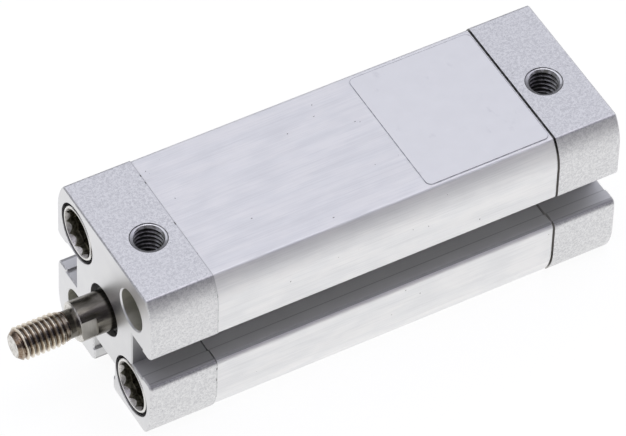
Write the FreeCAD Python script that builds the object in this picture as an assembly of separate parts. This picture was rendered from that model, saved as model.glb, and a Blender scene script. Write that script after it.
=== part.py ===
import FreeCAD
import Part
import math
import os

# Compact double-acting air cylinder: a slotted square barrel held between two caps by flange
# screws, with a round rod that carries a magnetic piston. Sizes are in millimetres.
# Origin: the rod axis at the bearing cap's front face. +X is the way the rod comes out,
# +Z is out of the face with both air ports, and the rod is drawn fully in.

Vector = FreeCAD.Vector
AXIS = Vector(1, 0, 0)
UP = Vector(0, 0, 1)

# Outer section, shared by the barrel and both caps
shoulder_setback = 1.7
shoulder_radius = 8.0
barrel_inset = 0.1
edge_break = 0.2
cut_overrun = 1.0

# Sensor slots in both sides and the base
slot_mouth_width = 5.49
slot_inner_width = 6.26
slot_lip_depth = 2.51
slot_depth = 5.58
slot_lip_radius = 0.9

# Lengths along the rod axis
stroke = 40.0
bearing_cap_length = 10.5
end_cap_length = 10.2
spigot_length = 2.5
joint_gap = 0.35
joint_gap_depth = 0.6
end_gap = 0.05

# Bore, the wall between it and each slot, and the corner holes
bore_radius = 6.0
slot_wall = 2.17
hole_edge_distance = 5.75
through_hole_radius = 3.1
hole_chamfer = 0.3
spigot_clearance = 0.02
press_gap = 0.01
running_gap = 0.03

# Air ports
port_radius = 2.5
port_depth = 5.0
port_chamfer = 0.2
port_offset = 1.9
front_port_inset = 6.0
rear_port_inset = 5.8
passage_radius = 0.5
passage_height = 5.0
drilling_radius = 0.7

# Flange screws with a twelve-toothed socket and a thread inside
counterbore_radius = 4.6
counterbore_depth = 8.2
screw_head_radius = 4.15
screw_head_recess = 0.1
screw_shank_radius = 3.0
screw_shank_length = 12.0
screw_thread_radius = 2.0
screw_thread_depth = 17.0
screw_thread_gap = 0.02
socket_notch_radius = 3.6
socket_tooth_radius = 3.05
socket_depth = 2.6
socket_teeth = 12
socket_lead_radius = 3.85
socket_lead_depth = 1.4

# Rod
rod_radius = 3.0
rod_shoulder = 4.8
rod_thread_radius = 2.5
rod_thread_length = 9.4
rod_relief_length = 1.2
rod_relief_depth = 0.45
rod_tip_chamfer = 0.8
rod_edge_break = 0.15
spanner_width = 5.3
spanner_length = 2.4
spanner_angle = 12.0

# Rod bearing, seals and wiper in the bearing cap
gland_radius = 4.0
wiper_groove_radius = 4.5
wiper_groove_start = 1.2
wiper_groove_width = 2.1
wiper_lip_reach = 0.75
seal_pocket_radius = 4.4
rod_seal_width = 2.4
retainer_thickness = 1.05
retainer_hole_gap = 0.3

# Static seals between the barrel and the caps
o_ring_section = 1.2
o_ring_flat = 0.5
o_ring_squeeze_gap = 0.05
o_ring_pocket_margin = 0.2

# Piston
piston_gap = 0.15
rod_tail_radius = 2.0
rod_seat_depth = 1.2
buffer_proud = 0.6
buffer_recess = 0.8
buffer_inner_radius = 3.4
buffer_outer_radius = 4.8
piston_seal_width = 1.5
piston_seal_height = 1.5
seal_heel_slack = 0.05
seal_lip_share = 0.2
seal_groove_gap = 0.05
seal_groove_wall = 0.3
band_groove_wall = 0.5
magnet_length = 1.8
magnet_inner_radius = 2.9
magnet_wall = 0.35
guide_band_width = 1.5
guide_band_height = 1.05
piston_screw_radius = 1.25
piston_screw_length = 5.0
piston_screw_head_radius = 2.6
piston_screw_head_height = 1.3
piston_screw_head_gap = 0.2
piston_screw_sink = 0.3
piston_screw_key = 2.0
piston_screw_key_depth = 0.7
tap_runout = 1.0

# Label on the barrel's top
label_length = 19.2
label_width = 22.6
label_end_margin = 0.8
label_corner_radius = 1.0

# Stations along the axis, worked out from the lengths
half_width = bore_radius + slot_wall + slot_depth
corner = half_width - hole_edge_distance
seal_groove_width = piston_seal_width + 2 * seal_groove_gap
band_groove_half = guide_band_width / 2 + seal_groove_gap
seal_groove_in = band_groove_half + band_groove_wall
seal_groove_out = seal_groove_in + seal_groove_width
half_length = seal_groove_out + seal_groove_wall + buffer_recess
dead_length = 2 * (half_length + buffer_proud + spigot_length + end_gap)
barrel_length = stroke + dead_length
barrel_front = -bearing_cap_length
barrel_back = barrel_front - barrel_length
rear_face = barrel_back - end_cap_length
front_spigot_end = barrel_front - spigot_length
rear_spigot_end = barrel_back + spigot_length
wiper_groove_end = -wiper_groove_start - wiper_groove_width
retainer_start = front_spigot_end + retainer_thickness
seal_pocket_start = retainer_start + seal_groove_gap + rod_seal_width
piston_middle = rear_spigot_end + end_gap + buffer_proud + half_length


def disc(radius, start, end, y=0.0, z=0.0):
    """A round bar along the rod axis between two stations."""
    low = min(start, end)
    return Part.makeCylinder(radius, abs(end - start), Vector(low, y, z), AXIS)


def tube(outer, inner, start, end, y=0.0, z=0.0):
    """A round bar with a round hole through it."""
    low = min(start, end) - cut_overrun
    high = max(start, end) + cut_overrun
    return disc(outer, start, end, y, z).cut(disc(inner, low, high, y, z))


def cone(radius_start, radius_end, start, end, y=0.0, z=0.0):
    """A tapered bar along the rod axis, with its radius given at each station."""
    low, high = start, end
    radius_low, radius_high = radius_start, radius_end
    if end < start:
        low, high = end, start
        radius_low, radius_high = radius_end, radius_start
    return Part.makeCone(radius_low, radius_high, high - low, Vector(low, y, z), AXIS)


def cut_all(body, cuts):
    """Takes each cut out of the body in turn."""
    for cut in cuts:
        body = body.cut(cut)
    return body


def turned(profile):
    """A ring turned about the rod axis from a closed profile of (station, radius) corners."""
    corners = [Vector(x, 0, r) for x, r in profile]
    face = Part.Face(Part.makePolygon(corners + corners[:1]))
    return face.revolve(Vector(0, 0, 0), AXIS, 360)


def arc(start, middle, end):
    return Part.Arc(Vector(0, *start), Vector(0, *middle), Vector(0, *end)).toShape()


def line(start, end):
    return Part.LineSegment(Vector(0, *start), Vector(0, *end)).toShape()


def outline(inset):
    """The section's closed outer line: four flats, with a long round shoulder at each corner."""
    side = half_width - inset
    flat = side - shoulder_setback
    centre_y = side - shoulder_radius
    tangent = side - math.sqrt(shoulder_radius ** 2 - (flat - centre_y) ** 2)
    turn = math.atan2(side - tangent, flat - centre_y) / 2
    middle = (
        centre_y + shoulder_radius * math.cos(turn),
        tangent + shoulder_radius * math.sin(turn),
    )
    edges = []
    edges.append(line((-flat, side), (flat, side)))
    edges.append(arc((flat, side), middle, (side, tangent)))
    edges.append(line((side, tangent), (side, -tangent)))
    edges.append(arc((side, -tangent), (middle[0], -middle[1]), (flat, -side)))
    edges.append(line((flat, -side), (-flat, -side)))
    edges.append(arc((-flat, -side), (-middle[0], -middle[1]), (-side, -tangent)))
    edges.append(line((-side, -tangent), (-side, tangent)))
    edges.append(arc((-side, tangent), (-middle[0], middle[1]), (-flat, side)))
    return Part.Wire(edges)


def slot_outline(inset):
    """One undercut slot in the +Y side, with a rounded lip on each side of its mouth."""
    side = half_width - inset
    beyond = half_width + cut_overrun
    mouth = slot_mouth_width / 2
    inner = slot_inner_width / 2
    lip_end = half_width - slot_lip_depth
    floor = bore_radius + slot_wall
    lip_side = side - slot_lip_radius
    lip_top = mouth + slot_lip_radius
    on_arc = slot_lip_radius * math.cos(math.pi / 4)
    edges = []
    edges.append(line((beyond, lip_top), (side, lip_top)))
    edges.append(arc((side, lip_top), (lip_side + on_arc, lip_top - on_arc), (lip_side, mouth)))
    edges.append(line((lip_side, mouth), (lip_end, mouth)))
    edges.append(line((lip_end, mouth), (lip_end, inner)))
    edges.append(line((lip_end, inner), (floor, inner)))
    edges.append(line((floor, inner), (floor, -inner)))
    edges.append(line((floor, -inner), (lip_end, -inner)))
    edges.append(line((lip_end, -inner), (lip_end, -mouth)))
    edges.append(line((lip_end, -mouth), (lip_side, -mouth)))
    edges.append(arc((lip_side, -mouth), (lip_side + on_arc, on_arc - lip_top), (side, -lip_top)))
    edges.append(line((side, -lip_top), (beyond, -lip_top)))
    edges.append(line((beyond, -lip_top), (beyond, lip_top)))
    return Part.Wire(edges)


def slotted_bar(inset, start, end):
    """A length of the outer section with the slots in both sides and the base."""
    low = min(start, end)
    run = Vector(abs(end - start), 0, 0)
    place = Vector(low, 0, 0)
    bar = Part.Face(outline(inset)).extrude(run)
    bar.translate(place)
    for angle in (0, 180, -90):
        slot = Part.Face(slot_outline(inset)).extrude(run)
        slot.translate(place)
        slot.rotate(Vector(0, 0, 0), AXIS, angle)
        bar = bar.cut(slot)
    return bar


def break_edges(bar, station):
    """Takes the sharp edge off all round one end face."""
    rim = [
        edge
        for edge in bar.Edges
        if all(abs(vertex.X - station) < 1e-6 for vertex in edge.Vertexes)
    ]
    return bar.makeChamfer(edge_break, rim)


def screw_places():
    """The two corners that take flange screws, and the two that stay open."""
    return [(-corner, corner), (corner, -corner)]


def open_places():
    return [(corner, corner), (-corner, -corner)]


def port_cut(station):
    """A threaded port from the top face, with its countersunk mouth and the drilling under it."""
    floor = half_width - port_depth
    drilling_floor = passage_height - passage_radius
    thread = Part.makeCylinder(port_radius, port_depth, Vector(station, port_offset, floor), UP)
    mouth = Part.makeCone(
        port_radius,
        port_radius + port_chamfer,
        port_chamfer,
        Vector(station, port_offset, half_width - port_chamfer),
        UP,
    )
    drilling = Part.makeCylinder(
        drilling_radius,
        floor - drilling_floor,
        Vector(station, port_offset, drilling_floor),
        UP,
    )
    return thread.fuse([mouth, drilling])


def passage_cut(port_station, spigot_end):
    """The air passage from under a port out through the end of the spigot."""
    return disc(passage_radius, port_station, spigot_end, port_offset, passage_height)


def cap_holes(outer, inner):
    """Counterbores for the flange screws and through holes, cut from the outer face inwards."""
    inwards = 1.0 if inner > outer else -1.0
    seat = outer + inwards * counterbore_depth
    cuts = []
    for y, z in screw_places():
        cuts.append(disc(counterbore_radius, outer, seat, y, z))
        cuts.append(disc(through_hole_radius, outer, inner, y, z))
    for y, z in open_places():
        wide = through_hole_radius + hole_chamfer
        inside = outer + inwards * hole_chamfer
        cuts.append(disc(through_hole_radius, outer, inner, y, z))
        cuts.append(cone(wide, through_hole_radius, outer, inside, y, z))
    return cuts


def bearing_cap():
    """The front cap, with the rod's gland through its middle and a spigot into the barrel."""
    cap = break_edges(slotted_bar(0.0, 0.0, barrel_front), 0.0)
    cap = cap.fuse(disc(bore_radius - spigot_clearance, barrel_front, front_spigot_end))
    port = -front_port_inset
    cuts = cap_holes(0.0, barrel_front)
    cuts.append(disc(gland_radius, 0.0, front_spigot_end))
    cuts.append(disc(wiper_groove_radius, -wiper_groove_start, wiper_groove_end))
    cuts.append(disc(seal_pocket_radius, seal_pocket_start, front_spigot_end))
    cuts.append(port_cut(port))
    cuts.append(passage_cut(port, front_spigot_end))
    return cut_all(cap, cuts)


def end_cap():
    """The closed rear cap, with a narrow gap left between its edge and the barrel."""
    land_end = barrel_back - joint_gap
    cap = break_edges(slotted_bar(0.0, land_end, rear_face), rear_face)
    cap = cap.fuse(slotted_bar(joint_gap_depth, barrel_back, land_end))
    cap = cap.fuse(disc(bore_radius - spigot_clearance, barrel_back, rear_spigot_end))
    port = rear_face + rear_port_inset
    cuts = cap_holes(rear_face, barrel_back)
    cuts.append(port_cut(port))
    cuts.append(passage_cut(port, rear_spigot_end))
    return cut_all(cap, cuts)


def o_ring_pocket_radius():
    return bore_radius + o_ring_section + o_ring_pocket_margin


def barrel():
    """The extruded barrel, bored for the piston and recessed at each end for a sealing ring."""
    body = slotted_bar(barrel_inset, barrel_front, barrel_back)
    pocket = o_ring_section + o_ring_squeeze_gap
    cuts = [disc(bore_radius, barrel_front, barrel_back)]
    cuts.append(disc(o_ring_pocket_radius(), barrel_front, barrel_front - pocket))
    cuts.append(disc(o_ring_pocket_radius(), barrel_back, barrel_back + pocket))
    for y, z in screw_places():
        tapped = screw_shank_radius + screw_thread_gap
        cuts.append(disc(tapped, barrel_front, barrel_back, y, z))
    for y, z in open_places():
        cuts.append(disc(through_hole_radius, barrel_front, barrel_back, y, z))
    return cut_all(body, cuts)


def label():
    """A thin label with rounded corners on the barrel's top, level with the caps."""
    back = barrel_back + label_end_margin
    low = half_width - barrel_inset
    plate = Part.makeBox(
        label_length, label_width, barrel_inset, Vector(back, -label_width / 2, low)
    )
    uprights = [
        edge
        for edge in plate.Edges
        if abs(edge.Vertexes[0].Z - edge.Vertexes[1].Z) > barrel_inset / 2
    ]
    return plate.makeFillet(label_corner_radius, uprights)


def socket_outline(station, y, z):
    """The closed line of the socket: round teeth that point inwards, with a notch between each two."""
    step = 2 * math.pi / socket_teeth

    def point(radius, turn):
        return Vector(station, y + radius * math.cos(turn), z + radius * math.sin(turn))

    teeth = []
    for tooth in range(socket_teeth):
        turn = tooth * step
        start = point(socket_notch_radius, turn - step / 2)
        crest = point(socket_tooth_radius, turn)
        end = point(socket_notch_radius, turn + step / 2)
        teeth.append(Part.Arc(start, crest, end).toShape())
    return Part.Wire(teeth)


def flange_screw(outer, y, z):
    """A cap screw sunk in its counterbore, with a toothed socket and a thread for a fixing bolt."""
    inwards = -1.0 if outer > barrel_front else 1.0
    top = outer + inwards * screw_head_recess
    seat = outer + inwards * counterbore_depth
    tip = seat + inwards * screw_shank_length
    socket_floor = top + inwards * socket_depth
    lead_end = top + inwards * socket_lead_depth
    thread_end = outer + inwards * screw_thread_depth
    screw = disc(screw_head_radius, top, seat, y, z)
    screw = screw.fuse(disc(screw_shank_radius, seat, tip, y, z))
    socket = Part.Face(socket_outline(top, y, z)).extrude(Vector(inwards * socket_depth, 0, 0))
    lead = cone(socket_lead_radius, socket_tooth_radius, top, lead_end, y, z)
    thread = disc(screw_thread_radius, socket_floor, thread_end, y, z)
    return cut_all(screw, [socket, lead, thread])


def rod_bearing_bush():
    """The bush that guides the rod, from the wiper's groove to the pocket of the rod seal."""
    inner = rod_radius + running_gap
    return tube(gland_radius - press_gap, inner, wiper_groove_end, seal_pocket_start)


def rod_wiper():
    """A wiper ring snapped into its groove, with a lip that leans forward on to the rod."""
    front = -wiper_groove_start - seal_groove_gap
    back = wiper_groove_end + seal_groove_gap
    outer = wiper_groove_radius - seal_groove_gap
    lip = rod_radius + running_gap
    neck = (lip + gland_radius) / 2
    return turned(
        [
            (back, outer),
            (front, outer),
            (front, neck + running_gap),
            (front + wiper_lip_reach, lip + running_gap),
            (front + wiper_lip_reach, lip),
            (front, lip + running_gap),
            (back, neck),
        ]
    )


def lip_seal(heel, mouth, inner, outer):
    """A cup seal between two radii: a solid heel, and two lips that open towards the mouth."""
    height = outer - inner
    slack = seal_heel_slack * height
    lip = seal_lip_share * height
    return turned(
        [
            (heel, inner + slack),
            (mouth, inner),
            (mouth, inner + lip),
            ((heel + mouth) / 2, (inner + outer) / 2),
            (mouth, outer - lip),
            (mouth, outer),
            (heel, outer - slack),
        ]
    )


def rod_seal():
    heel = seal_pocket_start - seal_groove_gap
    mouth = seal_pocket_start - rod_seal_width
    inner = rod_radius + running_gap
    outer = seal_pocket_radius - press_gap
    return lip_seal(heel, mouth, inner, outer)


def rod_seal_retainer():
    """A washer pressed in behind the rod seal, level with the spigot's end."""
    outer = seal_pocket_radius - press_gap
    return tube(outer, rod_radius + retainer_hole_gap, retainer_start, front_spigot_end)


def o_ring(face, inwards):
    """A sealing ring squeezed flat between a cap's face and spigot and the barrel's recess."""
    section = o_ring_section / 2
    flat = o_ring_flat / 2
    ring = bore_radius + section + o_ring_squeeze_gap
    middle = face + inwards * (section + o_ring_squeeze_gap / 2)
    return turned(
        [
            (middle - section, ring - flat),
            (middle - flat, ring - section),
            (middle + flat, ring - section),
            (middle + section, ring - flat),
            (middle + section, ring + flat),
            (middle + flat, ring + section),
            (middle - flat, ring + section),
            (middle - section, ring + flat),
        ]
    )


def piston_rod():
    """The rod: threaded nose, spanner flats, ground shank, and a tail through the piston."""
    tip = rod_shoulder + rod_thread_length
    seat = piston_middle + half_length - rod_seat_depth
    tail = screw_seat() + seal_groove_gap
    relief = rod_thread_radius - rod_relief_depth
    rod = disc(rod_radius, seat, rod_shoulder - rod_edge_break)
    edge_radius = rod_radius - rod_edge_break
    rod = rod.fuse(cone(rod_radius, edge_radius, rod_shoulder - rod_edge_break, rod_shoulder))
    rod = rod.fuse(disc(relief, rod_shoulder, rod_shoulder + rod_relief_length))
    nose = rod_shoulder + rod_relief_length
    rod = rod.fuse(disc(rod_thread_radius, nose, tip - rod_tip_chamfer))
    tip_radius = rod_thread_radius - rod_tip_chamfer
    rod = rod.fuse(cone(rod_thread_radius, tip_radius, tip - rod_tip_chamfer, tip))
    rod = rod.fuse(disc(rod_tail_radius, tail, seat))
    hole = piston_screw_radius + screw_thread_gap
    depth = piston_screw_length + tap_runout
    rod = rod.cut(disc(hole, tail, screw_seat() + depth))
    return cut_spanner_flats(rod)


def cut_spanner_flats(rod):
    """Two flats across the rod behind its shoulder, turned a little up from the sides."""
    span = 2 * rod_radius
    for side in (0, 180):
        block = Part.makeBox(
            spanner_length,
            span,
            span,
            Vector(rod_shoulder - spanner_length, spanner_width / 2, -span / 2),
        )
        block.rotate(Vector(0, 0, 0), AXIS, spanner_angle + side)
        rod = rod.cut(block)
    return rod


def screw_seat():
    """The station on which the piston screw's head clamps the rear half."""
    rear = piston_middle - half_length
    return rear + piston_screw_sink + piston_screw_head_height


def seal_floor():
    return bore_radius - piston_seal_height


def band_floor():
    return bore_radius - guide_band_height


def magnet_outer_radius():
    return band_floor() - magnet_wall


def seal_groove_stations():
    """The two walls of a piston seal's groove, as distances from the piston's middle."""
    outer = half_length - buffer_recess - seal_groove_wall
    return outer - piston_seal_width - 2 * seal_groove_gap, outer


def piston_half(side):
    """One half of the piston, from its middle plane to its outer face, without its centre hole."""
    middle = piston_middle
    face = middle + side * half_length
    groove_in, groove_out = seal_groove_stations()
    far = bore_radius + cut_overrun
    half = disc(bore_radius - piston_gap, middle, face)
    band_end = middle + side * (guide_band_width / 2 + seal_groove_gap)
    magnet_end = middle + side * (magnet_length / 2 + press_gap)
    magnet_out = magnet_outer_radius() + press_gap
    magnet_in = magnet_inner_radius - press_gap
    cuts = [tube(far, seal_floor(), middle + side * groove_in, middle + side * groove_out)]
    cuts.append(tube(far, band_floor(), middle, band_end))
    cuts.append(tube(magnet_out, magnet_in, middle, magnet_end))
    recess = face - side * buffer_recess
    buffer_out = buffer_outer_radius + press_gap
    buffer_in = buffer_inner_radius - press_gap
    cuts.append(tube(buffer_out, buffer_in, recess, face))
    return cut_all(half, cuts)


def piston_front_half():
    face = piston_middle + half_length
    cuts = [disc(rod_tail_radius + press_gap, piston_middle, face)]
    cuts.append(disc(rod_radius + press_gap, face - rod_seat_depth, face))
    return cut_all(piston_half(1), cuts)


def piston_rear_half():
    face = piston_middle - half_length
    cuts = [disc(rod_tail_radius + press_gap, piston_middle, face)]
    head_room = piston_screw_head_radius + piston_screw_head_gap
    cuts.append(disc(head_room, screw_seat(), face))
    return cut_all(piston_half(-1), cuts)


def piston_magnet():
    return tube(
        magnet_outer_radius(),
        magnet_inner_radius,
        piston_middle - magnet_length / 2,
        piston_middle + magnet_length / 2,
    )


def piston_guide_band():
    return tube(
        bore_radius - running_gap,
        band_floor() + running_gap,
        piston_middle - guide_band_width / 2,
        piston_middle + guide_band_width / 2,
    )


def piston_seal(side):
    """A cup seal in its groove, with its lips towards its own end of the cylinder."""
    groove_in, groove_out = seal_groove_stations()
    heel = piston_middle + side * (groove_in + seal_groove_gap)
    mouth = piston_middle + side * (groove_out - seal_groove_gap)
    inner = seal_floor() + running_gap
    return lip_seal(heel, mouth, inner, bore_radius - running_gap)


def buffer_ring(side):
    """A cushioning ring in the piston's face, which stands proud and stops the stroke."""
    face = piston_middle + side * (half_length + buffer_proud)
    root = piston_middle + side * (half_length - buffer_recess)
    return tube(buffer_outer_radius, buffer_inner_radius, root, face)


def piston_screw():
    """The socket screw that clamps the two halves and the magnet on the rod's tail."""
    seat = screw_seat()
    top = seat - piston_screw_head_height
    screw = disc(piston_screw_head_radius, top, seat)
    screw = screw.fuse(disc(piston_screw_radius, seat, seat + piston_screw_length))
    key_radius = piston_screw_key / math.sqrt(3)
    corners = [
        Vector(top, key_radius * math.cos(turn), key_radius * math.sin(turn))
        for turn in (math.radians(60 * side) for side in range(7))
    ]
    key = Part.Face(Part.makePolygon(corners)).extrude(Vector(piston_screw_key_depth, 0, 0))
    return screw.cut(key)


pieces = {
    "barrel": barrel(),
    "bearing_cap": bearing_cap(),
    "end_cap": end_cap(),
    "label": label(),
    "rod_bearing_bush": rod_bearing_bush(),
    "rod_wiper": rod_wiper(),
    "rod_seal": rod_seal(),
    "rod_seal_retainer": rod_seal_retainer(),
    "bearing_cap_o_ring": o_ring(barrel_front, -1.0),
    "end_cap_o_ring": o_ring(barrel_back, 1.0),
    "piston_rod": piston_rod(),
    "piston_front_half": piston_front_half(),
    "piston_rear_half": piston_rear_half(),
    "piston_magnet": piston_magnet(),
    "piston_guide_band": piston_guide_band(),
    "piston_seal_front": piston_seal(1),
    "piston_seal_rear": piston_seal(-1),
    "front_buffer": buffer_ring(1),
    "rear_buffer": buffer_ring(-1),
    "piston_screw": piston_screw(),
}

for height, (y, z) in zip(("upper", "lower"), screw_places()):
    pieces["flange_screw_front_" + height] = flange_screw(0.0, y, z)
    pieces["flange_screw_rear_" + height] = flange_screw(rear_face, y, z)

os.makedirs("parts", exist_ok=True)
for name, shape in pieces.items():
    shape.exportStep("parts/" + name + ".step")
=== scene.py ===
import math

import bpy
from mathutils import Matrix, Vector


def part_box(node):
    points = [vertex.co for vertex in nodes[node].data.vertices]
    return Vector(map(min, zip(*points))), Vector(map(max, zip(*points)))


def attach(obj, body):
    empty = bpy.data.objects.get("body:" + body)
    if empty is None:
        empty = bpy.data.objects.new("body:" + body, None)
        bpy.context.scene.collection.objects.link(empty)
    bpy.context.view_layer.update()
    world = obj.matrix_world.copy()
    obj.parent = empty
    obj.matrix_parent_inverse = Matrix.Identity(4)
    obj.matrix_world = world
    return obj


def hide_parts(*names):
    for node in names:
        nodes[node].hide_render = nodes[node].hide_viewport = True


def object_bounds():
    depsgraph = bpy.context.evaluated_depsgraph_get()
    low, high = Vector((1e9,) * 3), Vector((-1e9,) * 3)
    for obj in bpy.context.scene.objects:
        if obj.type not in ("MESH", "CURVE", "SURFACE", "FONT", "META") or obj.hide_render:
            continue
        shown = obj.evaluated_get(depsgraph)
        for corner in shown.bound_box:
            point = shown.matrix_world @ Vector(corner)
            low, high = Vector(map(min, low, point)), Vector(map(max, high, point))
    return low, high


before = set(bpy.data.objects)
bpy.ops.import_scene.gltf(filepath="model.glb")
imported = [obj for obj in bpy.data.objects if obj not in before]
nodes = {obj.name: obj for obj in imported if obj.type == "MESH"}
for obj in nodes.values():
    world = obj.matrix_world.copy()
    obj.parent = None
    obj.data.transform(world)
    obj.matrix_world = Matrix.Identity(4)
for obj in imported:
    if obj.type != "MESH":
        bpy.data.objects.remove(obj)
cad_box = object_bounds()
mm = 0.001


# The view: a long lens in front of the rod and above the side with the open slot. The angles and
# the distance belong to a pinhole camera fitted to the photograph's frame of 626 by 436 pixels.
aim = Vector((-33.277, 0.0, 1.83)) * mm
azimuth = math.radians(149.211)
elevation = math.radians(47.726)
roll = math.radians(2.049)
distance = 867.043 * mm
frame_width = 626
focal_pixels = 6169.779
sensor_width = 36.0
clip_near = 0.01
clip_far = 20.0

turn = Matrix.Rotation(azimuth, 4, "Z") @ Matrix.Rotation(math.pi / 2 - elevation, 4, "X")
backwards = turn @ Vector((0, 0, 1))
bpy.ops.object.select_all(action="DESELECT")
bpy.ops.object.camera_add()
camera = bpy.context.object
camera.name = "camera"
camera.matrix_world = (
    Matrix.Translation(aim + distance * backwards) @ turn @ Matrix.Rotation(roll, 4, "Z")
)
camera.data.sensor_width = sensor_width
camera.data.lens = focal_pixels * sensor_width / frame_width
camera.data.clip_start = clip_near
camera.data.clip_end = clip_far
bpy.context.scene.camera = camera
bpy.context.scene.view_settings.view_transform = "Standard"


class Value:
    """One output of a shader node. Sums, products and powers of it add their own Math nodes."""

    def __init__(self, shader, output):
        self.shader = shader
        self.output = output

    def math(self, operation, *numbers):
        inputs = dict(enumerate(numbers))
        return self.shader.node("ShaderNodeMath", {"operation": operation}, inputs)

    def __add__(self, other):
        return self.math("ADD", self, other)

    def __radd__(self, other):
        return self.math("ADD", other, self)

    def __sub__(self, other):
        return self.math("SUBTRACT", self, other)

    def __rsub__(self, other):
        return self.math("SUBTRACT", other, self)

    def __mul__(self, other):
        return self.math("MULTIPLY", self, other)

    def __rmul__(self, other):
        return self.math("MULTIPLY", other, self)

    def __truediv__(self, other):
        return self.math("DIVIDE", self, other)

    def __pow__(self, other):
        return self.math("POWER", self, other)

    def above(self, low, high):
        """0 below low, 1 above high, and smooth between them."""
        inputs = {"Value": self, "From Min": low, "From Max": high}
        return self.shader.node("ShaderNodeMapRange", {"interpolation_type": "SMOOTHSTEP"}, inputs)


class Shader:
    """A node tree, and the ways that its nodes are added."""

    def __init__(self, tree):
        self.tree = tree

    def put(self, socket, value):
        """Links a value to a socket, or sets the socket to a number, a vector or a colour."""
        if isinstance(value, Value):
            self.tree.links.new(value.output, socket)
        elif socket.type == "RGBA":
            socket.default_value = (*value, 1.0)
        else:
            socket.default_value = value

    def node(self, kind, settings=(), inputs=(), output=0):
        """Adds a node with its settings, then its inputs, and gives one of its outputs."""
        made = self.tree.nodes.new(kind)
        for name, value in dict(settings).items():
            setattr(made, name, value)
        for socket, value in dict(inputs).items():
            self.put(made.inputs[socket], value)
        return Value(self, made.outputs[output])

    def axis(self, vector, name):
        return self.node("ShaderNodeSeparateXYZ", inputs={0: vector}, output=name)

    def blend(self, mask, low, high):
        """One colour where the mask is 0, and the other where it is 1."""
        return self.node("ShaderNodeMix", {"data_type": "RGBA"}, {0: mask, 6: low, 7: high}, 2)


# The table: a pale floor under soft light from above and beyond the part, in a room that is dark
# near the horizon and on the camera's side. To the camera and in the metal the floor is white.
floor_size = 4.0
floor_white = 0.86
floor_show = 0.84
floor_glow = 1.1
white = (1.0, 1.0, 1.0)

bpy.ops.object.select_all(action="DESELECT")
bpy.ops.mesh.primitive_plane_add(size=floor_size, location=(0, 0, cad_box[0].z))
floor = bpy.context.object
floor.name = "floor"

floor_material = bpy.data.materials.new("floor_white")
floor_material.use_nodes = True
paint = Shader(floor_material.node_tree)
floor_output = floor_material.node_tree.nodes["Material Output"]
camera_ray = paint.node("ShaderNodeLightPath", output="Is Camera Ray")
glossy_ray = paint.node("ShaderNodeLightPath", output="Is Glossy Ray")
clear_ray = paint.node("ShaderNodeLightPath", output="Is Transmission Ray")
rays = camera_ray + glossy_ray + clear_ray
seen = rays.math("MINIMUM", rays, 1.0)
floor_grey = (floor_white, floor_white, floor_white)
matt = paint.node("ShaderNodeBsdfDiffuse", inputs={"Color": floor_grey})
glow = paint.node("ShaderNodeEmission", inputs={"Color": white, "Strength": floor_glow})
floor_mix = paint.node("ShaderNodeMixShader", inputs={0: seen * floor_show, 1: matt, 2: glow})
paint.put(floor_output.inputs["Surface"], floor_mix)
floor.data.materials.append(floor_material)

sky_bright = 1.04
sky_dark = 0.1
sky_rise = (0.3, 0.7)
near_fade = (0.0, 0.5)
near_tint = (-0.2, 0.4)
sky_colour = (0.893, 0.903, 1.0)
near_colour = (0.84, 0.79, 1.02)

world = bpy.data.worlds.new("studio")
world.use_nodes = True
bpy.context.scene.world = world
sky = Shader(world.node_tree)
direction = sky.node("ShaderNodeTexCoord", output="Generated")
height = sky.axis(direction, "Z")
nearness = sky.axis(direction, "Y")
camera_ray = sky.node("ShaderNodeLightPath", output="Is Camera Ray")
lit = height.above(*sky_rise) * (1 - nearness.above(*near_fade))
level = sky_dark + (sky_bright - sky_dark) * lit
level = level * (1 - camera_ray) + camera_ray
tint = sky.blend(nearness.above(*near_tint), sky_colour, near_colour)
tint = sky.blend(camera_ray, tint, white)
background = world.node_tree.nodes["Background"]
sky.put(background.inputs["Color"], tint)
sky.put(background.inputs["Strength"], level)


def softbox(name, place, size, power):
    """A round lamp that faces the middle of the part."""
    bpy.ops.object.light_add(type="AREA", location=place)
    lamp = bpy.context.object
    lamp.name = name
    lamp.data.shape = "DISK"
    lamp.data.size = size
    lamp.data.energy = power
    lamp.rotation_euler = (aim - Vector(place)).to_track_quat("-Z", "Y").to_euler()


softbox("softbox_top", (-0.1, 0.05, 1.0), 0.5, 1.0)
softbox("softbox_side", (0.9, 0.2, 0.6), 0.4, 0.5)
softbox("softbox_low", (-0.122, 0.129, 0.07), 0.06, 0.005)


# Barrel: an aluminium extrusion, sawn to length, bored and clear anodised. It has one undercut
# slot in each side and the base, and four long corner holes, two of which are tapped.
half_width = cad_box[1].z / mm
shoulder_setback = 1.7
shoulder_radius = 8.0
shoulder_steps = 18
corner_round = 0.25
barrel_inset = 0.1
barrel_end_break = 0.1
slot_mouth = 5.49 / 2
slot_inner = 6.26 / 2
slot_lip_depth = 2.51
slot_depth = 5.58
slot_lip_radius = 0.9
slot_shade = 0.8
lip_steps = 10
bore_radius = 6.0
corner_hole = 8.0
through_hole_radius = 3.1
tapped_hole_radius = 3.02
round_steps = 96
smooth_angle = 35
touch = 0.01
close = 0.1
# How far behind a slot's lip the band of painted shade starts and ends
lip_step_shade = (0.5, 0.1)
screw_corners = [(-corner_hole, corner_hole), (corner_hole, -corner_hole)]
open_corners = [(corner_hole, corner_hole), (-corner_hole, -corner_hole)]
barrel_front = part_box("barrel")[1].x / mm
barrel_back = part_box("barrel")[0].x / mm
weld = 0.001 * mm


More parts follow.
